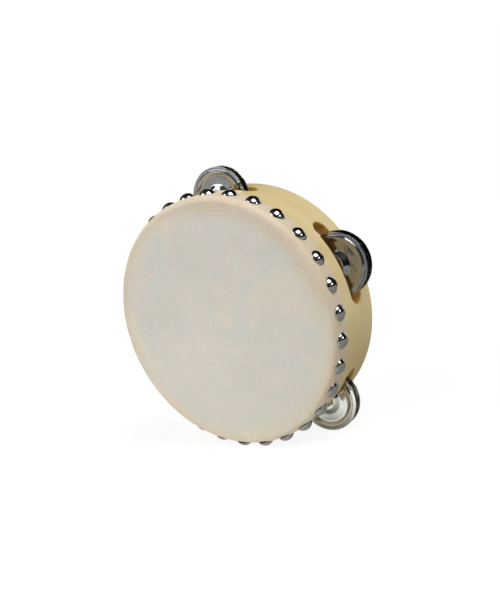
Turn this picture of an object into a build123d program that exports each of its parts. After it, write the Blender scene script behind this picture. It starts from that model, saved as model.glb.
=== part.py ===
"""A small tambourine: a bent wooden hoop with a tacked hide head and five pairs of jingles.

The drum stands on its edge.  +Z is up, the head faces -Y and the open rim faces +Y.  The origin
is on the floor under the middle of the drum.  Each part is drawn in the drum's own terms:
  angle  degrees round the drum axis, seen from the head, 0 to the right and 90 at the top
  depth  millimetres along the drum axis from the open rim towards the head
"""
from build123d import *
from math import cos, radians, sin, sqrt
import os

# hoop
hoop_radius = 75.0
hoop_wall = 7.0
hoop_depth = 47.0
rear_edge_round = 1.2
bearing_edge_round = 3.0
inner_bevel_width = 2.0
inner_bevel_depth = 1.5

# hide head: a disc that is turned down over the bearing edge and ends in a hem on the side
skin = 0.7
hem_depth = 33.5

# head tacks: hollow domed heads on pointed shanks, in one row through the turned-down hide.  The
# row is set by hand and runs a little askew, nearest the head at the lower right.
tack_count = 30
tack_row_depth = 40.5  # of the tacks' middles, on average
tack_row_sway = 2.5
tack_row_nearest = -50.0
tack_radius = 4.7
tack_height = 2.8
tack_sheet = 0.6
tack_shank_radius = 0.7
tack_length = 6.5
tack_point = 1.4

# slots, one for each pair of jingles
slot_count = 5
slot_depth = 17.3      # of a slot's middle
slot_width = 12.2
slot_end_angle = 20.2  # from a slot's middle to its tip, on the outside of the hoop

# jingle pins, driven from the open rim through the slot and into the wood beyond it
pin_radius = 1.05
pin_head_radius = 1.9
pin_head_edge = 0.4
pin_head_height = 1.3
pin_length = 33.0
pin_point = 2.2

# jingles: pressed discs with a flat rim, a low ridge, a plate dished inside it and a raised boss
jingle_radius = 18.9
jingle_sheet = 0.5
jingle_height = 2.4
jingle_hole_radius = 2.5
boss_top_radius = 5.6
boss_base_radius = 9.2
dish_radius = 12.8
ridge_height = 0.55    # over the rim
ridge_radius = 16.4
ridge_foot_radius = 17.0
hang_clearance = 0.1   # between the pin and the hole's edge that hangs on it

# how each pair hangs, clockwise from the top pair: millimetres between the rims, level with their
# centres, and the degrees by which the front jingle and the rear one lean back from the head
pair_depth = 17.0      # midway between the rims
rim_gaps = (4.2, 5.4, 4.8, 4.8, 5.0)
front_leans = (1.5, 6.0, 2.5, 2.5, 3.5)
rear_leans = (1.0, 1.0, 0.0, 0.0, 0.5)

# worked out
total_depth = hoop_depth + skin
hoop_inner_radius = hoop_radius - hoop_wall
pin_circle = hoop_radius - hoop_wall / 2
slot_length = 2 * hoop_radius * sin(radians(slot_end_angle))
slot_angles = [90 - 360 / slot_count * index for index in range(slot_count)]
tack_step = 360 / tack_count
tack_angles = [90 + tack_step * (index + 0.5) for index in range(tack_count)]
hang = jingle_hole_radius - pin_radius - hang_clearance
hole_height = jingle_height - jingle_sheet / 2

# The drum stands on the front jingles of its two lowest pairs, which lean a little.
lowest_angle = slot_angles[2]
lowest_lean = radians(front_leans[2])
axis_height = (
    hang
    - pin_circle * sin(radians(lowest_angle))
    + hole_height * sin(lowest_lean)
    + jingle_radius * cos(lowest_lean)
)

drum_axis = Axis((0, total_depth / 2, axis_height), (0, -1, 0))


def point_at(angle, radius, depth):
    """A point in the drum's terms, as a world point."""
    return (
        radius * cos(radians(angle)),
        total_depth / 2 - depth,
        axis_height + radius * sin(radians(angle)),
    )


def radial(angle):
    return (cos(radians(angle)), 0, sin(radians(angle)))


def tangent(angle):
    return (-sin(radians(angle)), 0, cos(radians(angle)))


def depth_section(angle, radius):
    """Half-section plane whose local y runs along the depth, from the open rim at that radius."""
    return Plane(origin=point_at(angle, radius, 0), x_dir=(1, 0, 0), z_dir=(0, 0, -1))


def tack_point_at(angle):
    """Where a tack goes in through the hide."""
    depth = tack_row_depth + tack_row_sway * cos(radians(angle - tack_row_nearest))
    return point_at(angle, hoop_radius + skin, depth)


def tack_section(angle):
    """Half-section plane whose local y points outwards, from the hide where a tack goes in."""
    return Plane(origin=tack_point_at(angle), x_dir=tangent(angle), z_dir=(0, 1, 0))


def tack_axis(angle):
    return Axis(tack_point_at(angle), radial(angle))


def cap_height_at(radius, base_radius, rise):
    """Height of a spherical cap over its base, at a radius from its middle."""
    sphere = (base_radius**2 + rise**2) / (2 * rise)
    return sqrt(sphere**2 - radius**2) - (sphere - rise)


# Half-section outlines, as (radius, height) points; a jingle's heights count from its hole
shank_outline = [
    (0, -tack_length),
    (tack_shank_radius, tack_point - tack_length),
    (tack_shank_radius, 0),
    (0, 0),
]
pin_outline = [
    (0, 0),
    (pin_head_radius, 0),
    (pin_head_radius, pin_head_edge),
    (pin_radius, pin_head_height),
    (pin_radius, pin_length - pin_point),
    (0, pin_length),
]
jingle_face = [
    (jingle_hole_radius, jingle_height),
    (boss_top_radius, jingle_height),
    (boss_base_radius, jingle_sheet),
    (dish_radius, jingle_sheet),
    (ridge_radius, ridge_height + jingle_sheet),
    (ridge_foot_radius, jingle_sheet),
    (jingle_radius, jingle_sheet),
]
jingle_back = [(radius, height - jingle_sheet) for radius, height in reversed(jingle_face)]
jingle_outline = [(radius, height - hole_height) for radius, height in jingle_face + jingle_back]


def export(piece, name):
    piece.part.label = name
    export_step(piece.part, f"parts/{name}.step")


os.makedirs("parts", exist_ok=True)

# Hoop: a turned ring with five round-ended slots, and the holes that the pins and tacks make
with BuildPart() as hoop:
    with BuildSketch(depth_section(0, 0)) as hoop_section:
        with Locations((hoop_radius - hoop_wall / 2, hoop_depth / 2)):
            Rectangle(hoop_wall, hoop_depth)
        rear_corners = hoop_section.vertices().group_by(Axis.Y)[0]
        fillet(rear_corners, radius=rear_edge_round)
        outer_front_corner = hoop_section.vertices().group_by(Axis.Y)[-1].sort_by(Axis.X)[-1]
        fillet(outer_front_corner, radius=bearing_edge_round)
        inner_front_corner = hoop_section.vertices().group_by(Axis.Y)[-1].sort_by(Axis.X)[0]
        chamfer(inner_front_corner, length=inner_bevel_depth, length2=inner_bevel_width)
    revolve(axis=drum_axis)
    for angle in slot_angles:
        start = point_at(angle, hoop_inner_radius - hoop_wall, slot_depth)
        with BuildSketch(Plane(origin=start, x_dir=tangent(angle), z_dir=radial(angle))):
            SlotOverall(slot_length, slot_width)
        extrude(amount=3 * hoop_wall, mode=Mode.SUBTRACT)
    for angle in slot_angles:
        with BuildSketch(depth_section(angle, pin_circle)):
            with BuildLine():
                Polyline(*pin_outline, close=True)
            make_face()
        revolve(axis=Axis(point_at(angle, pin_circle, 0), (0, -1, 0)), mode=Mode.SUBTRACT)
    for angle in tack_angles:
        with BuildSketch(tack_section(angle)):
            with BuildLine():
                Polyline(*shank_outline, close=True)
            make_face()
        revolve(axis=tack_axis(angle), mode=Mode.SUBTRACT)
export(hoop, "hoop")

# Hide head, in full contact with the hoop's bearing edge and side
with BuildPart() as drum_head:
    with BuildSketch(depth_section(0, 0)):
        bend_radius = hoop_radius - bearing_edge_round
        bend_depth = hoop_depth - bearing_edge_round
        with BuildLine():
            Line((0, hoop_depth), (bend_radius, hoop_depth))
            CenterArc((bend_radius, bend_depth), bearing_edge_round, 0, 90)
            Line((hoop_radius, bend_depth), (hoop_radius, hem_depth))
            Line((hoop_radius, hem_depth), (hoop_radius + skin, hem_depth))
            Line((hoop_radius + skin, hem_depth), (hoop_radius + skin, bend_depth))
            CenterArc((bend_radius, bend_depth), bearing_edge_round + skin, 0, 90)
            Line((bend_radius, total_depth), (0, total_depth))
            Line((0, total_depth), (0, hoop_depth))
        make_face()
    revolve(axis=drum_axis)
    for angle in tack_angles:
        with BuildSketch(tack_section(angle)):
            with BuildLine():
                Polyline(*shank_outline, close=True)
            make_face()
        revolve(axis=tack_axis(angle), mode=Mode.SUBTRACT)
export(drum_head, "drum_head")

# Head tacks, thirty alike
with BuildPart() as head_tacks:
    inner_radius = tack_radius - tack_sheet
    inner_rise = tack_height - tack_sheet
    neck = cap_height_at(tack_shank_radius, inner_radius, inner_rise)
    for angle in tack_angles:
        with BuildSketch(tack_section(angle)):
            with BuildLine():
                Polyline(
                    (0, tack_height),
                    (0, -tack_length),
                    (tack_shank_radius, tack_point - tack_length),
                    (tack_shank_radius, neck),
                )
                ThreePointArc(
                    (tack_shank_radius, neck),
                    (inner_radius / 2, cap_height_at(inner_radius / 2, inner_radius, inner_rise)),
                    (inner_radius, 0),
                )
                Line((inner_radius, 0), (tack_radius, 0))
                ThreePointArc(
                    (tack_radius, 0),
                    (tack_radius / 2, cap_height_at(tack_radius / 2, tack_radius, tack_height)),
                    (0, tack_height),
                )
            make_face()
        revolve(axis=tack_axis(angle))
export(head_tacks, "head_tacks")

# Jingle pins, one across the middle of each slot
for number, angle in enumerate(slot_angles, start=1):
    with BuildPart() as jingle_pin:
        with BuildSketch(depth_section(angle, pin_circle)):
            with BuildLine():
                Polyline(*pin_outline, close=True)
            make_face()
        revolve(axis=Axis(point_at(angle, pin_circle, 0), (0, -1, 0)))
    export(jingle_pin, f"jingle_pin_{number}")


# Jingles: each hangs on its pin by the top edge of its hole, and the rims of a pair face each other
for number, angle in enumerate(slot_angles, start=1):
    hang_of_pair = (
        ("front", 1, front_leans[number - 1]),
        ("rear", -1, -rear_leans[number - 1]),
    )
    for name, side, tip in hang_of_pair:
        hole_offset = rim_gaps[number - 1] / 2 + hole_height
        hole = Vector(*point_at(angle, pin_circle, pair_depth + side * hole_offset))
        hole = hole - Vector(0, 0, hang)
        face_direction = (0, -side * cos(radians(tip)), sin(radians(tip)))
        face = Plane(origin=hole, x_dir=(1, 0, 0), z_dir=face_direction)
        with BuildPart() as jingle:
            with BuildSketch(Plane(origin=hole, x_dir=face.x_dir, z_dir=-face.y_dir)):
                with BuildLine():
                    Polyline(*jingle_outline, close=True)
                make_face()
            revolve(axis=Axis(hole, face.z_dir))
        export(jingle, f"jingle_{number}_{name}")
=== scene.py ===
"""Looks of the small tambourine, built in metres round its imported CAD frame.

The drum stands on its edge: the head faces -Y, the open rim +Y, and +Z is up.  Pieces are drawn in
the drum's own terms: an angle round the drum axis as seen from the head, 0 to the right and 90 at
the top, a radius from that axis, and a depth along it from the open rim towards the head.
"""
import math
import random

import bmesh
import bpy
import numpy as np
from mathutils import Matrix, Vector


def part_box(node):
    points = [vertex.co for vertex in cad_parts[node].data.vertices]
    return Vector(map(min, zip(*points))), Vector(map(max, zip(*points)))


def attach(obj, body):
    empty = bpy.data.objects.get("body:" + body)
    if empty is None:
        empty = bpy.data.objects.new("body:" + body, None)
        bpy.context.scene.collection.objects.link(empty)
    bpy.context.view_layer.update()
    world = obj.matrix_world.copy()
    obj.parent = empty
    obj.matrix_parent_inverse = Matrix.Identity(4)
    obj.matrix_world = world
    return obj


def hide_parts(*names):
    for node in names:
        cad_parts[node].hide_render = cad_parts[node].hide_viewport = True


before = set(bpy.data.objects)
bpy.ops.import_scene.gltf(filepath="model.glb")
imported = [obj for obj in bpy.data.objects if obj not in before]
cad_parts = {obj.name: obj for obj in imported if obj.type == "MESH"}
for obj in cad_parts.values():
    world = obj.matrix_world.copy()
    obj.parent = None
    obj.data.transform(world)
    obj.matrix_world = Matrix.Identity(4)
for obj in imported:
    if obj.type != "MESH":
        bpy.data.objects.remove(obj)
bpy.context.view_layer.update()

MM = 0.001

# ---------------------------------------------------------------- sizes, from the frame's boxes
hoop_low, hoop_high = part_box("hoop")
head_low, head_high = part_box("drum_head")
HOOP_R = (hoop_high.x - hoop_low.x) / 2
AXIS_Z = (hoop_high.z + hoop_low.z) / 2
RIM_Y = hoop_high.y
HOOP_DEPTH = hoop_high.y - hoop_low.y
SKIN = hoop_low.y - head_low.y
HEM_DEPTH = RIM_Y - head_high.y

# ---------------------------------------------------------------- sizes that the boxes don't show
WALL = 7 * MM
PLY = 1.4 * MM
INNER_R = HOOP_R - WALL
PIN_CIRCLE = HOOP_R - WALL / 2
BEARING_ROUND = 3 * MM
REAR_ROUND = 1.2 * MM
BEVEL_WIDTH = 2 * MM
BEVEL_DEPTH = 1.5 * MM

SLOTS = 5
SLOT_ANGLES = [90 - 360 / SLOTS * index for index in range(SLOTS)]
SLOT_DEPTH = 17.3 * MM
SLOT_WIDTH = 12.2 * MM
SLOT_END_ANGLE = 20.2  # from a slot's middle to its tip
SLOT_HALF_LENGTH = HOOP_R * math.sin(math.radians(SLOT_END_ANGLE))

TACKS = 30
TACK_ANGLES = [90 + 360 / TACKS * (index + 0.5) for index in range(TACKS)]
TACK_ROW_DEPTH, TACK_ROW_SWAY, TACK_ROW_NEAREST = 40.5 * MM, 2.5 * MM, -50
TACK_R = 4.7 * MM
TACK_HEIGHT = 2.8 * MM

# how each pair of jingles hangs, clockwise from the top pair
PAIR_DEPTH = 17 * MM
RIM_GAPS = (4.2, 5.4, 4.8, 4.8, 5.0)  # millimetres between the rims
FRONT_LEANS = (1.5, 6.0, 2.5, 2.5, 3.5)  # degrees back from the head
REAR_LEANS = (1.0, 1.0, 0.0, 0.0, 0.5)
PAIR_TURNS = (0.0, 2.2, 0.5, -0.5, -1.0)  # degrees about the upright, in the play of the hole
HANG = 1.35 * MM  # from the pin's middle down to the hole's
HOLE_HEIGHT = 2.15 * MM  # from the back of the rim to the level of the hole's edge

# local x to the right, y up and z along the depth
DRUM = Matrix(((1, 0, 0, 0), (0, 0, -1, RIM_Y), (0, 1, 0, AXIS_Z), (0, 0, 0, 1)))


# ---------------------------------------------------------------- mesh tools
MERGE_GAP = 0.001 * MM
SHARP_ANGLE = math.radians(42)


def at(radius, turn, depth):
    """A point in the drum's terms, before DRUM places it."""
    return (radius * math.cos(turn), radius * math.sin(turn), depth)


def between(one, two, share):
    """The point that share of the way from one to two."""
    return tuple(a + (b - a) * share for a, b in zip(one, two))


def smoothstep(low, high, value):
    t = np.clip((value - low) / (high - low), 0, 1)
    return t * t * (3 - 2 * t)


def arc_points(centre, radius, start, end, steps):
    turns = [math.radians(start + (end - start) * step / steps) for step in range(steps + 1)]
    return [(centre[0] + radius * math.cos(t), centre[1] + radius * math.sin(t)) for t in turns]


def softened(corners, steps):
    """A profile with its corners rounded. Each is (radius, height, how far back it is cut)."""
    points = []
    for index, (x, y, cut) in enumerate(corners):
        here = Vector((x, y))
        if cut == 0 or index in (0, len(corners) - 1):
            points.append((x, y))
            continue
        before = Vector(corners[index - 1][:2])
        after = Vector(corners[index + 1][:2])
        start = here + (before - here).normalized() * cut
        end = here + (after - here).normalized() * cut
        for step in range(steps + 1):
            t = step / steps
            bend = start * (1 - t) ** 2 + here * (2 * t * (1 - t)) + end * t**2
            points.append((bend.x, bend.y))
    return points


def lathe(profile, segments, closed=False):
    """Points and faces of a profile of (radius, height) turned round the local z axis."""
    points, rings = [], []
    for radius, height in profile:
        count = 1 if radius == 0 else segments
        rings.append([len(points) + index for index in range(count)])
        for index in range(count):
            points.append(at(radius, math.tau * index / count, height))
    pairs = list(zip(rings, rings[1:]))
    if closed:
        pairs.append((rings[-1], rings[0]))
    faces = []
    for one, two in pairs:
        for index in range(segments):
            after = (index + 1) % segments
            corners = [one[index % len(one)], two[index % len(two)]]
            corners += [two[after % len(two)], one[after % len(one)]]
            faces.append(tuple(dict.fromkeys(corners)))
    return points, faces


def piece(name, points, faces, materials, body, replaces, placed, face_slots=None):
    """A mesh object that rides on a body. Its mesh holds its place, as a CAD node's does."""
    mesh = bpy.data.meshes.new(name)
    mesh.from_pydata([tuple(point) for point in points], [], faces)
    mesh.transform(placed)
    if face_slots is not None:
        mesh.polygons.foreach_set("material_index", face_slots)
    work = bmesh.new()
    work.from_mesh(mesh)
    bmesh.ops.remove_doubles(work, verts=work.verts, dist=MERGE_GAP)
    bmesh.ops.recalc_face_normals(work, faces=work.faces)
    work.to_mesh(mesh)
    work.free()
    mesh.shade_smooth()
    mesh.set_sharp_from_angle(angle=SHARP_ANGLE)
    made = bpy.data.objects.new(name, mesh)
    bpy.context.scene.collection.objects.link(made)
    for material in materials:
        mesh.materials.append(material)
    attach(made, body)
    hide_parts(*replaces)
    return made


# ---------------------------------------------------------------- material tools
class Nodes:
    """A short way to write the node tree of one material or world."""

    # the sockets of a mix node that mixes colours
    MIX_FACTOR, MIX_ONE, MIX_TWO, MIX_RESULT = 0, 6, 7, 2

    def __init__(self, owner):
        owner.use_nodes = True
        self.owner = owner
        self.tree = owner.node_tree
        self.shader = self.tree.nodes.get("Principled BSDF")

    def add(self, kind, inputs=None, **settings):
        node = self.tree.nodes.new(kind)
        for key, value in settings.items():
            setattr(node, key, value)
        for key, value in (inputs or {}).items():
            self.put(node.inputs[key], value)
        return node

    def put(self, socket, value):
        if isinstance(value, bpy.types.NodeSocket):
            self.tree.links.new(value, socket)
        else:
            socket.default_value = value

    def shade(self, values):
        """Sets the shader's own sockets, each to a value or another node's output."""
        for key, value in values.items():
            self.put(self.shader.inputs[key], value)

    def math(self, operation, *values):
        node = self.add("ShaderNodeMath", operation=operation)
        for socket, value in zip(node.inputs, values):
            self.put(socket, value)
        return node.outputs[0]

    def measure(self, operation, *vectors):
        """A number that vector maths gives, such as a dot product."""
        node = self.add("ShaderNodeVectorMath", dict(enumerate(vectors)), operation=operation)
        return node.outputs["Value"]

    def noise(self, vector, scale, detail=4.0, roughness=0.5, distortion=0.0):
        inputs = {
            "Vector": vector, "Scale": scale, "Detail": detail,
            "Roughness": roughness, "Distortion": distortion,
        }
        return self.add("ShaderNodeTexNoise", inputs).outputs["Fac"]

    def ramp(self, value, stops):
        """A colour ramp from (position, colour) stops."""
        node = self.add("ShaderNodeValToRGB", {"Fac": value})
        elements = node.color_ramp.elements
        while len(elements) < len(stops):
            elements.new(0.5)
        for element, (position, colour) in zip(elements, stops):
            element.position = position
            element.color = (*colour, 1)
        return node.outputs["Color"]

    def level(self, value, low, high):
        """0 at low, 1 at high, smooth between them."""
        inputs = {"Value": value, "From Min": low, "From Max": high}
        node = self.add("ShaderNodeMapRange", inputs, interpolation_type="SMOOTHSTEP")
        return node.outputs["Result"]

    def mix(self, factor, one, two):
        node = self.add("ShaderNodeMix", data_type="RGBA")
        self.put(node.inputs[self.MIX_FACTOR], factor)
        for index, colour in ((self.MIX_ONE, one), (self.MIX_TWO, two)):
            plain = not isinstance(colour, bpy.types.NodeSocket)
            self.put(node.inputs[index], (*colour, 1) if plain else colour)
        return node.outputs[self.MIX_RESULT]

    def tinted(self, colour, mask, strength, towards):
        """The colour, drawn towards another by a mask and a strength."""
        return self.mix(self.math("MULTIPLY", mask, strength), colour, towards)

    def by_ray(self, others, camera):
        """One shader for the rays of any camera, and another for all other light."""
        own_ray = self.add("ShaderNodeLightPath").outputs["Is Camera Ray"]
        return self.add("ShaderNodeMixShader", {0: own_ray, 1: others, 2: camera}).outputs[0]

    def bump(self, height, distance, strength=1.0):
        inputs = {"Height": height, "Distance": distance, "Strength": strength}
        self.shade({"Normal": self.add("ShaderNodeBump", inputs).outputs["Normal"]})

    def where(self):
        """The point in the row frame."""
        return self.add("ShaderNodeTexCoord").outputs["Object"]

    def place(self):
        """The point in the row frame, split: x, y, and z from the drum axis."""
        split = self.add("ShaderNodeSeparateXYZ", {"Vector": self.where()})
        up = self.math("SUBTRACT", split.outputs["Z"], AXIS_Z)
        return split.outputs["X"], split.outputs["Y"], up

    def from_axis(self, x, up):
        """Distance from the drum axis."""
        squares = self.math("ADD", self.math("MULTIPLY", x, x), self.math("MULTIPLY", up, up))
        return self.math("SQRT", squares)

    def vector(self, x, y, z):
        return self.add("ShaderNodeCombineXYZ", {"X": x, "Y": y, "Z": z}).outputs[0]

    def stretched(self, coordinates, scales):
        """A vector of three coordinates, each times its own scale."""
        return self.vector(*(self.math("MULTIPLY", c, s) for c, s in zip(coordinates, scales)))


# ---------------------------------------------------------------- materials
def wood(name, pale, deep, dark, roughness, layered):
    """Varnished bentwood: grain that runs round the hoop, soft bands, fine pores and plies."""
    nodes = Nodes(bpy.data.materials.new(name))
    x, depth, up = nodes.place()
    radius = nodes.from_axis(x, up)
    # length along the bend, with its seam at the bottom of the drum
    arc = nodes.math("MULTIPLY", nodes.math("ARCTAN2", x, up), HOOP_R)
    plies = nodes.math("DIVIDE", radius, PLY)
    ply = nodes.math("FLOOR", plies)
    place = (arc, depth, ply)
    # each pattern's scale per metre along the bend and across it, and its step from ply to ply
    bands = nodes.noise(nodes.stretched(place, (9, 95, 3.7)), 1.0, 3, 0.55, 0.6)
    fibres = nodes.noise(nodes.stretched(place, (60, 1500, 5.3)), 1.0, 3, 0.6)
    pore = nodes.noise(nodes.stretched(place, (220, 2600, 2.9)), 1.0, 2, 0.5)
    pores = nodes.level(pore, 0.64, 0.72)
    cloud = nodes.noise(nodes.vector(arc, depth, radius), 22, 2, 0.5)
    tone = nodes.math(
        "ADD", nodes.math("MULTIPLY", bands, 0.62), nodes.math("MULTIPLY", fibres, 0.38)
    )
    colour = nodes.ramp(tone, [(0.30, deep), (0.50, pale)])
    colour = nodes.mix(nodes.level(cloud, 0.35, 0.75), colour, deep)
    colour = nodes.tinted(colour, pores, 0.35, dark)
    if layered:
        # ends of the plies, with a dark glue line between them; light soaks into the end grain
        in_ply = nodes.math("SUBTRACT", nodes.math("FRACT", plies), 0.5)
        from_middle = nodes.math("ABSOLUTE", in_ply)
        colour = nodes.tinted(colour, nodes.math("MODULO", ply, 2.0), 0.35, deep)
        colour = nodes.tinted(colour, nodes.level(from_middle, 0.40, 0.48), 0.6, dark)
        nodes.shade({
            "Subsurface Weight": 0.5,
            "Subsurface Radius": (0.004, 0.0022, 0.0007),
            "Subsurface Scale": 1.0,
        })
    nodes.shade({
        "Base Color": colour,
        "Roughness": nodes.math("MULTIPLY_ADD", fibres, 0.12, roughness - 0.06),
        "Specular IOR Level": 0.35,
        "Coat Weight": 0.55,
        "Coat Roughness": 0.45,
    })
    height = nodes.math(
        "SUBTRACT", nodes.math("MULTIPLY", fibres, 0.5), nodes.math("MULTIPLY", pores, 0.6)
    )
    nodes.bump(height, 0.06 * MM, 0.35)
    return nodes.owner


def hide():
    """Stretched rawhide: pale, faintly blotched and flecked, warmer where it lies on the wood;
    painted shade low down, at the upper right and in creases, and painted warm bounce on its side.
    """
    nodes = Nodes(bpy.data.materials.new("hide"))
    x, y, up = nodes.place()
    radius = nodes.from_axis(x, up)
    turn = nodes.math("ARCTAN2", up, x)
    where = nodes.vector(x, y, up)
    blotch = nodes.noise(where, 30, 5, 0.6, 0.4)
    greenish = nodes.noise(nodes.vector(up, x, y), 48, 5, 0.62, 0.5)
    rosy = nodes.noise(nodes.vector(up, y, x), 40, 5, 0.62, 0.5)
    veil = nodes.noise(where, 170, 6, 0.65)
    grain = nodes.noise(where, 650, 4, 0.7)
    fine = nodes.noise(where, 900, 3, 0.6)

    ragged = nodes.math("MULTIPLY", nodes.math("SUBTRACT", blotch, 0.5), 14 * MM)
    edge = nodes.math("ADD", radius, ragged)
    # painted shade: the hide is drawn darker towards the bottom
    low = nodes.level(nodes.math("MULTIPLY_ADD", blotch, 20 * MM, up), 0, -60 * MM)
    # painted shade: a darker, warmer shoulder at the upper right, where the creases are too
    until_top = nodes.level(turn, 2.0, 1.3)
    shoulder = nodes.math("MULTIPLY", nodes.level(turn, -0.4, 0.5), until_top)
    shoulder = nodes.math("MULTIPLY", shoulder, nodes.level(edge, 60 * MM, 70 * MM))
    fold = nodes.math(
        "MULTIPLY", nodes.level(radius, 67 * MM, 73 * MM), nodes.level(rosy, 0.38, 0.56)
    )

    def crease(middle, breadth, wander, first, last):
        """A pink mark along the edge at a radius in millimetres, fading in from first to last:
        partly the hide's own colour, partly painted shade in a crease.
        """
        sway = nodes.math("SUBTRACT", greenish, 0.5)
        path = nodes.math("MULTIPLY_ADD", sway, wander * MM, radius)
        off = nodes.math("ABSOLUTE", nodes.math("SUBTRACT", path, middle * MM))
        line = nodes.level(off, 2.2 * breadth * MM, 0.2 * breadth * MM)
        span = nodes.math("MULTIPLY", nodes.level(turn, first, last), until_top)
        span = nodes.math("MULTIPLY", span, nodes.level(rosy, 0.36, 0.54))
        return nodes.math("MULTIPLY", line, span)

    cells = nodes.add("ShaderNodeTexVoronoi", {"Vector": where, "Scale": 210.0, "Randomness": 1.0})
    rare = nodes.math("GREATER_THAN", nodes.noise(where, 75, 2), 0.60)
    spot = nodes.math("LESS_THAN", cells.outputs["Distance"], 0.075)
    fleck = nodes.math("MULTIPLY", spot, rare)

    # each tone: where it lies, how strong it is, and its colour
    pink = (0.72, 0.47, 0.33)
    tones = [
        # blotches, a pale veil, painted shade darkening the lower part, the warm edge and the grain
        (nodes.level(greenish, 0.50, 0.62), 0.74, (0.69, 0.705, 0.655)),
        (nodes.level(rosy, 0.52, 0.64), 0.66, (0.785, 0.695, 0.64)),
        (nodes.level(veil, 0.48, 0.68), 0.42, (0.83, 0.76, 0.66)),
        (low, 0.60, (0.65, 0.62, 0.56)),
        (nodes.level(edge, 58 * MM, 76 * MM), 0.55, (0.86, 0.74, 0.53)),
        (nodes.level(grain, 0.42, 0.66), 0.42, (0.68, 0.63, 0.55)),
        # creases with painted shade in them, painted shade at the upper right, the bend, the
        # turned-down side with painted warm bounce light, and the flecks
        # crease lines, partly the hide's colour and partly painted shade
        (crease(67.6, 0.45, 5.0, -0.3, 0.5), 0.50, pink),
        (crease(65.0, 0.40, 6.0, 0.2, 0.6), 0.32, pink),
        (crease(69.6, 0.40, 4.0, -0.2, 0.4), 0.40, pink),
        # painted shade over the upper-right shoulder
        (shoulder, 0.40, (0.73, 0.59, 0.42)),
        (fold, 0.55, (0.74, 0.58, 0.42)),
        # the turned-down side: warmer, partly from the wood under the hide and partly painted warm
        # bounce light
        (nodes.level(radius, 73 * MM, 75.5 * MM), 0.45, (0.80, 0.66, 0.45)),
        (fleck, 0.5, (0.36, 0.24, 0.17)),
    ]
    skin = [(0.36, (0.71, 0.68, 0.615)), (0.50, (0.76, 0.72, 0.645)), (0.64, (0.81, 0.74, 0.62))]
    colour = nodes.ramp(blotch, skin)
    for mask, strength, towards in tones:
        colour = nodes.tinted(colour, mask, strength, towards)
    nodes.shade({
        "Base Color": colour,
        "Roughness": nodes.math("MULTIPLY_ADD", veil, 0.2, 0.48),
        "Subsurface Weight": 0.12,
        "Subsurface Radius": (0.0016, 0.0011, 0.0006),
        "Subsurface Scale": 1.0,
    })
    height = nodes.math(
        "ADD", nodes.math("MULTIPLY", veil, 0.8), nodes.math("MULTIPLY", fine, 0.35)
    )
    nodes.bump(height, 0.12 * MM, 0.5)
    return nodes.owner


def plated(name, tint, roughness, ripple):
    """Bright nickel plate over pressed sheet: faint ripples, wipe marks and tarnish specks."""
    nodes = Nodes(bpy.data.materials.new(name))
    where = nodes.where()
    wave = nodes.noise(where, 110, 2, 0.4)
    haze = nodes.noise(where, 420, 4, 0.6)
    specks = nodes.level(nodes.noise(where, 1500, 2, 0.5), 0.70, 0.78)
    colour = nodes.mix(nodes.level(haze, 0.45, 0.75), tint, [0.88 * value for value in tint])
    nodes.shade({
        "Base Color": nodes.tinted(colour, specks, 0.6, (0.22, 0.19, 0.15)),
        "Metallic": 1.0,
        "Roughness": nodes.math("MULTIPLY_ADD", haze, 0.10, roughness - 0.03),
    })
    nodes.bump(wave, ripple)
    return nodes.owner


def steel_wire():
    """Drawn steel: dull, with marks along its length and a little rust bloom."""
    nodes = Nodes(bpy.data.materials.new("pin_wire"))
    where = nodes.where()
    split = nodes.add("ShaderNodeSeparateXYZ", {"Vector": where})
    marks = nodes.noise(nodes.stretched(split.outputs, (2500, 120, 2500)), 1.0, 3, 0.6)
    bloom = nodes.level(nodes.noise(where, 600, 3, 0.6), 0.58, 0.72)
    colour = nodes.ramp(marks, [(0.3, (0.34, 0.33, 0.32)), (0.7, (0.55, 0.54, 0.52))])
    nodes.shade({
        "Base Color": nodes.tinted(colour, bloom, 0.35, (0.30, 0.20, 0.12)),
        "Metallic": 1.0,
        "Roughness": nodes.math("MULTIPLY_ADD", marks, 0.2, 0.28),
    })
    nodes.bump(marks, 0.03 * MM, 0.5)
    return nodes.owner


VENEER = wood(
    "veneer", (0.855, 0.69, 0.355), (0.785, 0.585, 0.25), (0.50, 0.31, 0.11), 0.42, layered=False
)
CUT_WOOD = wood(
    "cut_wood", (1.0, 0.69, 0.22), (0.96, 0.57, 0.13), (0.60, 0.30, 0.06), 0.45, layered=True
)
EDGE_WOOD = wood(
    "edge_wood", (0.82, 0.64, 0.33), (0.72, 0.52, 0.23), (0.42, 0.25, 0.09), 0.45, layered=True
)
HIDE = hide()
JINGLE_PLATE = plated("jingle_plate", (0.47, 0.47, 0.455), 0.08, 0.020 * MM)
# darker and brighter copies of the jingle plate: painted shade in the reflections of the pair on
# the right, painted light in those of the pair at the lower right
PAINTED_SHADE_JINGLE_PLATE = plated("painted_shade_jingle_plate", (0.33, 0.33, 0.345), 0.09, 0.030 * MM)
PAINTED_LIGHT_JINGLE_PLATE = plated("painted_light_jingle_plate", (0.75, 0.76, 0.73), 0.08, 0.024 * MM)
TACK_PLATE = plated("tack_plate", (0.42, 0.415, 0.40), 0.08, 0.006 * MM)
PIN_WIRE = steel_wire()

# pairs clockwise from the top: the second has painted shade in its plate, the third painted light
PAIR_PLATES = (JINGLE_PLATE, PAINTED_SHADE_JINGLE_PLATE, PAINTED_LIGHT_JINGLE_PLATE, JINGLE_PLATE, JINGLE_PLATE)


# ---------------------------------------------------------------- hoop
END_STEPS = 20  # round a slot's end, and along the side of its panel
SIDE_STEPS = 48  # along a slot's straight side, and along the front or rear of its panel
LIP = 0.45 * MM  # how far a slot's edges are eased
LIP_TURNS = (0, 22.5, 45, 67.5, 90)
SPREAD = (0.03, 0.08, 0.16, 0.28, 0.44, 0.64, 0.84, 1.0)  # shares of the way to a panel's edge
OUTSIDE, CUT, REAR_EDGE = 0, 1, 2  # places of the hoop's materials


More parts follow.
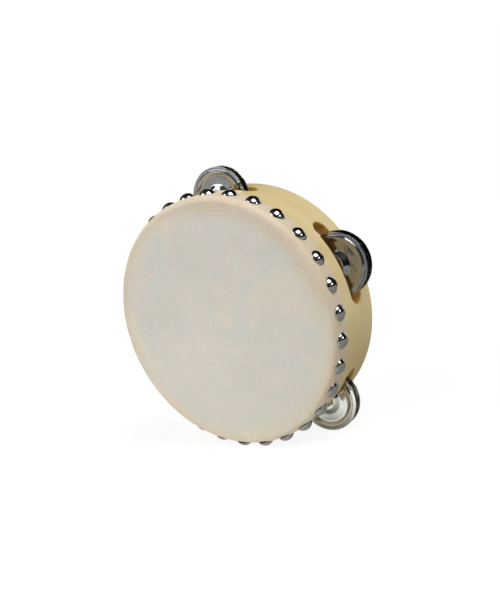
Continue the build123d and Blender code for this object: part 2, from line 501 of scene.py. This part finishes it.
def slot_ring(grow, radius):
    """The slot's outline, grown by a little, on a cylinder of that radius, as (turn, depth)."""
    half_width = SLOT_WIDTH / 2 + grow
    straight = SLOT_HALF_LENGTH - SLOT_WIDTH / 2
    outline = []
    for step in range(END_STEPS):
        turn = math.radians(-90 + 180 * step / END_STEPS)
        outline.append((straight + half_width * math.cos(turn), half_width * math.sin(turn)))
    for step in range(SIDE_STEPS):
        outline.append((straight - 2 * straight * step / SIDE_STEPS, half_width))
    outline += [(-x, -y) for x, y in outline]
    return [(math.asin(x / radius), SLOT_DEPTH + y) for x, y in outline]


def panel_ring(low, high):
    """The edge of one slot's panel of the hoop, as (turn, depth), point for point as slot_ring."""
    half = math.pi / SLOTS
    edge = [(half, low + (high - low) * step / END_STEPS) for step in range(END_STEPS)]
    edge += [(half - 2 * half * step / SIDE_STEPS, high) for step in range(SIDE_STEPS)]
    edge += [(-half, high + (low - high) * step / END_STEPS) for step in range(END_STEPS)]
    edge += [(-half + 2 * half * step / SIDE_STEPS, low) for step in range(SIDE_STEPS)]
    return edge


def panel_rings():
    """Rings of (radius, turn, depth) from the panel's inner edge through the slot to its outer
    edge, and the rows of faces between them where the cut wood starts and ends."""
    outer_panel = panel_ring(REAR_ROUND, HOOP_DEPTH - BEARING_ROUND)
    inner_panel = panel_ring(REAR_ROUND, HOOP_DEPTH - BEVEL_DEPTH)
    inner_lip = slot_ring(LIP, INNER_R)
    outer_lip = slot_ring(LIP, HOOP_R)
    rings = []
    for share in reversed(SPREAD):
        ring = [between(lip, edge, share) for lip, edge in zip(inner_lip, inner_panel)]
        rings.append([(INNER_R, *point) for point in ring])
    for angle in reversed(LIP_TURNS):
        turn = math.radians(angle)
        radius = INNER_R + LIP * (1 - math.sin(turn))
        rings.append([(radius, *point) for point in slot_ring(LIP * (1 - math.cos(turn)), radius)])
    first_cut = len(rings) - 2
    for share in (0.2, 0.4, 0.6, 0.8):
        radius = INNER_R + LIP + (WALL - 2 * LIP) * share
        rings.append([(radius, *point) for point in slot_ring(0, radius)])
    last_cut = len(rings) + 1
    for angle in LIP_TURNS:
        turn = math.radians(angle)
        radius = HOOP_R - LIP * (1 - math.sin(turn))
        rings.append([(radius, *point) for point in slot_ring(LIP * (1 - math.cos(turn)), radius)])
    for share in SPREAD:
        ring = [between(lip, edge, share) for lip, edge in zip(outer_lip, outer_panel)]
        rings.append([(HOOP_R, *point) for point in ring])
    return rings, first_cut, last_cut


def make_hoop():
    """One panel for each slot, with the front and rear edges of the hoop beside it."""
    rings, first_cut, last_cut = panel_rings()
    bearing_middle = (HOOP_R - BEARING_ROUND, HOOP_DEPTH - BEARING_ROUND)
    front = arc_points(bearing_middle, BEARING_ROUND, 0, 90, 8)
    front += [(INNER_R + BEVEL_WIDTH, HOOP_DEPTH), (INNER_R, HOOP_DEPTH - BEVEL_DEPTH)]
    rear = arc_points((HOOP_R - REAR_ROUND, REAR_ROUND), REAR_ROUND, 0, -90, 6)
    rear += arc_points((INNER_R + REAR_ROUND, REAR_ROUND), REAR_ROUND, -90, -180, 6)
    points, faces, kinds = [], [], []

    def put_grid(rows, wrap, kind_of_row):
        start, width = len(points), len(rows[0])
        points.extend(point for row in rows for point in row)
        for row in range(len(rows) - 1):
            one, two = start + row * width, start + (row + 1) * width
            for column in range(width if wrap else width - 1):
                after = (column + 1) % width
                faces.append((one + column, one + after, two + after, two + column))
                kinds.append(kind_of_row(row))

    half = math.pi / SLOTS
    for angle in SLOT_ANGLES:
        middle = math.radians(angle)
        panel = [[at(r, middle + turn, depth) for r, turn, depth in ring] for ring in rings]
        put_grid(panel, True, lambda row: CUT if first_cut <= row < last_cut else OUTSIDE)
        turns = [middle + half - 2 * half * step / SIDE_STEPS for step in range(SIDE_STEPS + 1)]
        for profile, kind in ((front, OUTSIDE), (rear, REAR_EDGE)):
            rows = [[at(radius, turn, depth) for turn in turns] for radius, depth in profile]
            put_grid(rows, False, lambda row: kind)
    piece(
        "bentwood_hoop", points, faces, [VENEER, CUT_WOOD, EDGE_WOOD],
        "drum", ["hoop"], DRUM, kinds,
    )


# ---------------------------------------------------------------- hide head
HEAD_SEGMENTS = 720
# radii of the flat part's rings, in millimetres, closer together towards its edge
FLAT_RINGS = (6, 14, 22, 30, 38, 45, 51, 56, 60, 63, 65, 66.5, 68, 69.5, 70.8)
OUTER_SIDE_SHARES = (0.12, 0.25, 0.38, 0.5, 0.62, 0.74, 0.86, 0.95)  # from the bend to the hem
INNER_SIDE_SHARES = (0.25, 0.6)  # from the hem to the bend
# round of the cut edge, in millimetres inwards from the outside and up from the hem
HEM_EDGE = ((0.0, 0.35), (0.12, 0.10), (0.35, 0.0), (0.58, 0.10), (0.70, 0.35))


def hem_line(turn):
    """Depth of the hem, hand-cut and a little wavy."""
    line = 0.75
    waves = ((0.45, 2, 0.6), (0.30, 5, 2.1), (0.22, 11, 0.4), (0.10, 29, 1.0), (0.06, 53, 2.0))
    for size, count, phase in waves:
        line = line + size * np.sin(count * turn + phase)
    return HEM_DEPTH + line * MM


def make_head():
    """The hide as one closed sheet: outside from the middle to the hem, then inside back."""
    turn = np.arange(HEAD_SEGMENTS) * math.tau / HEAD_SEGMENTS
    bend_middle = (HOOP_R - BEARING_ROUND, HOOP_DEPTH - BEARING_ROUND)
    bend_depth = HOOP_DEPTH - BEARING_ROUND
    outer_r = HOOP_R + SKIN
    tacks = np.radians(np.array(TACK_ANGLES))
    from_tacks = np.abs((turn[:, None] - tacks[None, :] + math.pi) % math.tau - math.pi)
    pucker = smoothstep(2.5 * MM, 6.8 * MM, np.min(from_tacks, axis=1) * HOOP_R)

    def ring(radius, depth):
        depths = np.broadcast_to(depth, turn.shape)
        return np.stack([radius * np.cos(turn), radius * np.sin(turn), depths], 1)

    def side_lift(depth):
        """How far the hide stands off between the tacks, growing towards the hem."""
        loose = smoothstep(HOOP_DEPTH - 2 * MM, HEM_DEPTH + 2 * MM, depth)
        return pucker * loose * (0.22 + 0.10 * np.sin(9 * turn + 1.3)) * MM

    def face_relief(radius):
        """A slight sag, and two faint creases near the edge that come and go round it."""
        near = np.exp(-(((radius - 64.5 * MM) / (1.6 * MM)) ** 2))
        near = near * (0.5 + 0.5 * np.sin(turn * 2 - 0.4))
        crease = np.exp(-(((radius - 67.4 * MM) / (0.8 * MM)) ** 2))
        crease = crease * (0.5 + 0.5 * np.sin(turn * 3 + 0.9))
        sag = 0.12 * np.sin(3 * turn + 0.5) * (radius / HOOP_R) ** 2
        return (sag - 0.10 * near - 0.08 * crease - 0.10) * MM

    face = HOOP_DEPTH + SKIN
    hem = hem_line(turn)
    lift = side_lift(hem)
    rows = [[(0, 0, face - 0.1 * MM)]]
    for radius in FLAT_RINGS:
        rows.append(ring(radius * MM, face + face_relief(radius * MM)))
    for radius, depth in arc_points(bend_middle, BEARING_ROUND + SKIN, 90, 0, 9):
        rows.append(ring(radius, depth))
    for share in OUTER_SIDE_SHARES:
        depth = bend_depth + (hem - bend_depth) * share
        rows.append(ring(outer_r + side_lift(depth), depth))
    for inwards, up in HEM_EDGE:
        rows.append(ring(outer_r - inwards * MM + lift, hem + up * MM))
    for share in INNER_SIDE_SHARES:
        rows.append(ring(HOOP_R, hem + (bend_depth - hem) * share))
    for radius, depth in arc_points(bend_middle, BEARING_ROUND, 0, 90, 6):
        rows.append(ring(radius, depth))
    for radius in reversed(FLAT_RINGS):
        rows.append(ring(radius * MM, HOOP_DEPTH + face_relief(radius * MM) * 0.5))
    rows.append([(0, 0, HOOP_DEPTH)])

    points = [tuple(map(float, point)) for row in rows for point in row]
    starts = [int(start) for start in np.cumsum([0] + [len(row) for row in rows])]
    faces = []
    for index in range(len(rows) - 1):
        one, two = starts[index], starts[index + 1]
        one_count, two_count = len(rows[index]), len(rows[index + 1])
        for column in range(HEAD_SEGMENTS):
            after = (column + 1) % HEAD_SEGMENTS
            corners = [one + column % one_count, two + column % two_count]
            corners += [two + after % two_count, one + after % one_count]
            faces.append(tuple(dict.fromkeys(corners)))
    head = piece("hide_head", points, faces, [HIDE], "drum", ["drum_head"], DRUM)


# ---------------------------------------------------------------- tacks
TACK_SEGMENTS = 40
TACK_DOME_STEPS = 14
TACK_TILT = 3  # most degrees that a tack leans, each way
TACK_GAP = 0.05 * MM  # between the hide and the level of a tack's edge
# the row was set by eye: its spacing drifts, by degrees, and twice round the hoop it dips
TACK_DRIFT, TACK_DRIFT_AT = 0.6, 75
TACK_DIP, TACK_DIP_AT = 0.35 * MM, 22


def tack_profile():
    """Half-section of a hollow domed head with a rolled edge, on a pointed shank."""
    ball = (TACK_R**2 + TACK_HEIGHT**2) / (2 * TACK_HEIGHT)
    reach = math.asin(TACK_R / ball)
    dome = [(0, TACK_HEIGHT)]
    for step in range(1, TACK_DOME_STEPS + 1):
        turn = reach * step / TACK_DOME_STEPS
        dome.append((ball * math.sin(turn), ball * math.cos(turn) - ball + TACK_HEIGHT))
    rim = [
        (TACK_R - 0.02 * MM, -0.14 * MM), (TACK_R - 0.25 * MM, -0.20 * MM),
        (TACK_R - 0.7 * MM, 0.10 * MM),
    ]
    under = [(3.0 * MM, 1.3 * MM), (0.9 * MM, 2.05 * MM), (0.7 * MM, 1.8 * MM)]
    shank = [(0.7 * MM, -5.1 * MM), (0, -6.5 * MM)]
    return dome + rim + under + shank


def make_tacks():
    """Domed upholstery tacks, each set by hand, so no two are quite square to the hoop."""
    draw = random.Random(6)
    shape, shape_faces = lathe(tack_profile(), TACK_SEGMENTS)
    points, faces = [], []
    for angle in TACK_ANGLES:
        phase = math.radians(angle - TACK_DRIFT_AT)
        turn = math.radians(
            angle + TACK_DRIFT * math.cos(2 * phase) + TACK_DRIFT * math.cos(3 * phase)
        )
        row = TACK_ROW_DEPTH + TACK_ROW_SWAY * math.cos(math.radians(angle - TACK_ROW_NEAREST))
        row -= TACK_DIP * (1 + math.cos(2 * math.radians(angle - TACK_DIP_AT)))
        place = Vector(at(HOOP_R + SKIN + TACK_GAP, turn, row))
        outward = Vector((math.cos(turn), math.sin(turn), 0))
        along = Vector((0, 0, 1))
        basis = Matrix((along, outward.cross(along), outward)).transposed()
        tilt = Matrix.Rotation(math.radians(draw.uniform(-TACK_TILT, TACK_TILT)), 3, "X")
        tilt = tilt @ Matrix.Rotation(math.radians(draw.uniform(-TACK_TILT, TACK_TILT)), 3, "Y")
        start = len(points)
        points += [place + basis @ (tilt @ Vector(point)) for point in shape]
        faces += [tuple(start + index for index in face) for face in shape_faces]
    piece("dome_tacks", points, faces, [TACK_PLATE], "drum", ["head_tacks"], DRUM)


# ---------------------------------------------------------------- jingles and pins
JINGLE_SEGMENTS = 224
JINGLE_CORNER_STEPS = 6
JINGLE_SPIN = 0.7  # radians that each pair is turned on beyond the last, so no two look alike
PIN_SEGMENTS = 32

# Half-section of a pressed jingle, in millimetres: (radius, height, how far back the corner is
# cut). The front goes from the hole over the boss, the dished plate and the low ridge to the rim.
JINGLE_FACE = (
    (2.50, 2.20, 0.0), (2.70, 2.40, 0.14), (5.70, 2.40, 0.80), (8.40, 0.52, 0.40),
    (9.80, 0.44, 0.40), (13.4, 0.36, 0.60), (16.00, 1.22, 0.25), (16.25, 1.19, 0.12),
    (17.05, 0.50, 0.18), (18.9, 0.50, 0.24), (18.9, 0.25, 0.0),
)
JINGLE_BACK = (
    (18.9, 0.0, 0.24), (17.1, 0.0, 0.20), (16.1, 0.72, 0.25), (13.4, -0.12, 0.60),
    (9.80, -0.02, 0.40), (8.25, 0.06, 0.40), (5.60, 1.90, 0.75), (2.70, 1.90, 0.12),
    (2.50, 2.06, 0.0),
)

# Half-section of a pin, in millimetres: a low domed head, a shank and a point
PIN_OUTLINE = (
    (0, -0.12), (0.9, -0.09), (1.6, 0.02), (1.9, 0.22), (1.9, 0.5), (1.05, 1.3), (1.05, 31.0),
    (0, 33.0),
)


def make_jingles():
    """Pairs of pressed discs, the rims of a pair facing each other, each disc on its own body."""
    outline = [(r * MM, h * MM - HOLE_HEIGHT, cut * MM) for r, h, cut in JINGLE_FACE + JINGLE_BACK]
    shape, faces = lathe(softened(outline, JINGLE_CORNER_STEPS), JINGLE_SEGMENTS, closed=True)
    for index, angle in enumerate(SLOT_ANGLES):
        pair_turn = Matrix.Rotation(math.radians(PAIR_TURNS[index]), 4, "Z")
        offset = RIM_GAPS[index] * MM / 2 + HOLE_HEIGHT
        discs = (("front", 1, FRONT_LEANS[index]), ("rear", -1, -REAR_LEANS[index]))
        for name, side, lean in discs:
            tip = math.radians(lean)
            hole = DRUM @ Vector(at(PIN_CIRCLE, math.radians(angle), PAIR_DEPTH + side * offset))
            hole.z -= HANG
            outward = Vector((0, -side * math.cos(tip), math.sin(tip)))
            right = Vector((1, 0, 0))
            basis = Matrix((right, outward.cross(right), outward)).transposed().to_4x4()
            spin = Matrix.Rotation(JINGLE_SPIN * (index + 1) + side, 4, "Z")
            placed = Matrix.Translation(hole) @ (pair_turn @ basis) @ spin
            node = f"jingle_{index + 1}_{name}"
            piece(
                f"{node}_disc", shape, faces, [PAIR_PLATES[index]],
                node, [node], placed,
            )


def make_pins():
    """Wire nails: the head in the open rim, the shank across the slot, the point in the wood."""
    shape, faces = lathe([(r * MM, h * MM) for r, h in PIN_OUTLINE], PIN_SEGMENTS)
    for number, angle in enumerate(SLOT_ANGLES, start=1):
        placed = DRUM @ Matrix.Translation(at(PIN_CIRCLE, math.radians(angle), 0))
        node = f"jingle_pin_{number}"
        piece(f"{node}_wire", shape, faces, [PIN_WIRE], "drum", [node], placed)


make_hoop()
make_head()
make_tacks()
make_jingles()
make_pins()


# ---------------------------------------------------------------- floor, light and camera
FLOOR_R = 0.9
FLOOR_CORNERS = 96
GLOW_PATCH_AT = Vector((-0.01, -0.12, 0))  # a glowing patch on the floor, just ahead of the drum: painted light that lights the drum and shows in its jingles


def direction(azimuth, elevation):
    """Unit vector towards an azimuth, 0 ahead of the drum and 90 to its right, and elevation."""
    a, e = math.radians(azimuth), math.radians(elevation)
    return Vector((math.sin(a) * math.cos(e), -math.cos(a) * math.cos(e), math.sin(e)))


def make_floor():
    """White paper on a light table: it fades to white round the drum for the camera, while the drum
    sees paper that is grey to the rear right and bright to the front left, with a glowing patch of
    painted light."""
    nodes = Nodes(bpy.data.materials.new("floor_paper"))
    where = nodes.where()
    fibre = nodes.noise(where, 300, 3, 0.6)
    forward = nodes.measure("DOT_PRODUCT", where, direction(-35, 0))
    from_glow_patch = nodes.measure("DISTANCE", where, GLOW_PATCH_AT)
    from_drum = nodes.measure("LENGTH", where)
    paper = nodes.ramp(fibre, [(0.3, (0.80, 0.80, 0.79)), (0.7, (0.84, 0.84, 0.83))])
    nodes.shade({
        "Base Color": nodes.mix(nodes.level(forward, -0.02, 0.16), (0.46, 0.465, 0.43), paper),
        "Emission Color": (1, 0.99, 0.94, 1),
        # painted light: the floor glows round the patch ahead of the drum
        "Emission Strength": nodes.math("MULTIPLY", nodes.level(from_glow_patch, 0.14, 0.08), 0.46),
        "Roughness": 0.9,
    })
    glow = nodes.math("MULTIPLY_ADD", nodes.level(from_drum, 0.12, 0.30), 0.12, 0.88)
    table = nodes.add("ShaderNodeEmission", {"Color": (1, 1, 1, 1), "Strength": glow})
    sheet = nodes.add("ShaderNodeBsdfDiffuse", {"Color": (0.18, 0.18, 0.18, 1)})
    lit = nodes.add("ShaderNodeAddShader", {0: table.outputs[0], 1: sheet.outputs[0]})
    seen = nodes.by_ray(nodes.shader.outputs[0], lit.outputs[0])
    nodes.put(nodes.tree.nodes["Material Output"].inputs["Surface"], seen)
    mesh = bpy.data.meshes.new("floor")
    rim = [at(FLOOR_R, math.tau * corner / FLOOR_CORNERS, 0) for corner in range(FLOOR_CORNERS)]
    mesh.from_pydata(rim, [], [tuple(range(FLOOR_CORNERS))])
    mesh.materials.append(nodes.owner)
    floor = bpy.data.objects.new("floor", mesh)
    bpy.context.scene.collection.objects.link(floor)


def make_light(name, size, power, azimuth, elevation, distance):
    """A square softbox that faces the drum from a direction, out of the camera's sight."""
    lamp = bpy.data.lights.new(name, "AREA")
    lamp.shape = "RECTANGLE"
    lamp.size = lamp.size_y = size
    lamp.energy = power
    made = bpy.data.objects.new(name, lamp)
    bpy.context.scene.collection.objects.link(made)
    back = direction(azimuth, elevation)
    made.location = Vector((0, 0, AXIS_Z)) + back * distance
    made.rotation_mode = "QUATERNION"
    made.rotation_quaternion = (-back).to_track_quat("-Z", "Y")
    made.visible_camera = False


# each glow in the room: azimuth and elevation of its middle, its reach in degrees, its colour
ROOM_GLOWS = (
    (-46, 6, 44, (0.71, 0.73, 0.74)),
    (-25, -6, 14, (0.12, 0.12, 0.11)),
    (-100, 30, 45, (0.10, 0.10, 0.11)),
    (20, 55, 40, (0.10, 0.10, 0.11)),
    (75, 40, 45, (0.05, 0.05, 0.055)),
)
ROOM_DARK = (0.012, 0.013, 0.015)
ROOM_PATCHES = {"From Min": 0.40, "From Max": 0.60, "To Min": 0.50, "To Max": 1.20}


def make_world():
    """White to the camera. To the drum, a dim studio: grey walls to the left, dark behind."""
    world = bpy.data.worlds.new("studio")
    bpy.context.scene.world = world
    nodes = Nodes(world)
    nodes.tree.nodes.clear()
    where = nodes.add("ShaderNodeTexCoord").outputs["Generated"]
    patches = nodes.add(
        "ShaderNodeMapRange", {"Value": nodes.noise(where, 3.2, 3), **ROOM_PATCHES}
    ).outputs["Result"]
    colour = nodes.vector(*ROOM_DARK)
    for azimuth, elevation, reach, glow in ROOM_GLOWS:
        near = nodes.measure("DOT_PRODUCT", where, direction(azimuth, elevation))
        fade = nodes.level(near, math.cos(math.radians(reach)), 1.0)
        scaling = {0: glow, "Scale": nodes.math("MULTIPLY", fade, patches)}
        tint = nodes.add("ShaderNodeVectorMath", scaling, operation="SCALE").outputs[0]
        both = nodes.add("ShaderNodeVectorMath", {0: colour, 1: tint}, operation="ADD")
        colour = both.outputs[0]
    room = nodes.add("ShaderNodeBackground", {"Color": colour})
    white = nodes.add("ShaderNodeBackground", {"Color": (1, 1, 1, 1)})
    seen = nodes.by_ray(room.outputs[0], white.outputs[0])
    nodes.add("ShaderNodeOutputWorld", {"Surface": seen})


def make_camera():
    """A 50 mm lens half a metre away, a little above the drum and to its right, slightly rolled."""
    azimuth, elevation, roll, distance = 35.52, 10.34, -13.72, 0.5056
    aim = Vector((4.3 * MM, 4.5 * MM, AXIS_Z + 6.36 * MM))
    data = bpy.data.cameras.new("camera")
    data.lens = 50
    camera = bpy.data.objects.new("camera", data)
    bpy.context.scene.collection.objects.link(camera)
    back = direction(azimuth, elevation)
    camera.location = aim + back * distance
    level = (-back).to_track_quat("-Z", "Y").to_matrix()
    turned = level @ Matrix.Rotation(math.radians(roll), 3, "Z")
    camera.rotation_mode = "QUATERNION"
    camera.rotation_quaternion = turned.to_quaternion()
    bpy.context.scene.camera = camera


make_floor()
# name, side in metres, watts, azimuth, elevation and distance in metres
make_light("front_softbox", 0.75, 7.4, -38, 41, 1.25)
make_light("right_softbox", 0.70, 8.0, 80, 58, 1.1)
make_light("right_lamp", 0.26, 1.3, 92, 18, 1.1)
make_light("near_lamp", 0.10, 0.08, 66, 12, 1.1)
make_light("rear_softbox", 0.80, 2.0, 170, 6, 1.3)
make_world()
make_camera()
bpy.context.scene.view_settings.view_transform = "Standard"
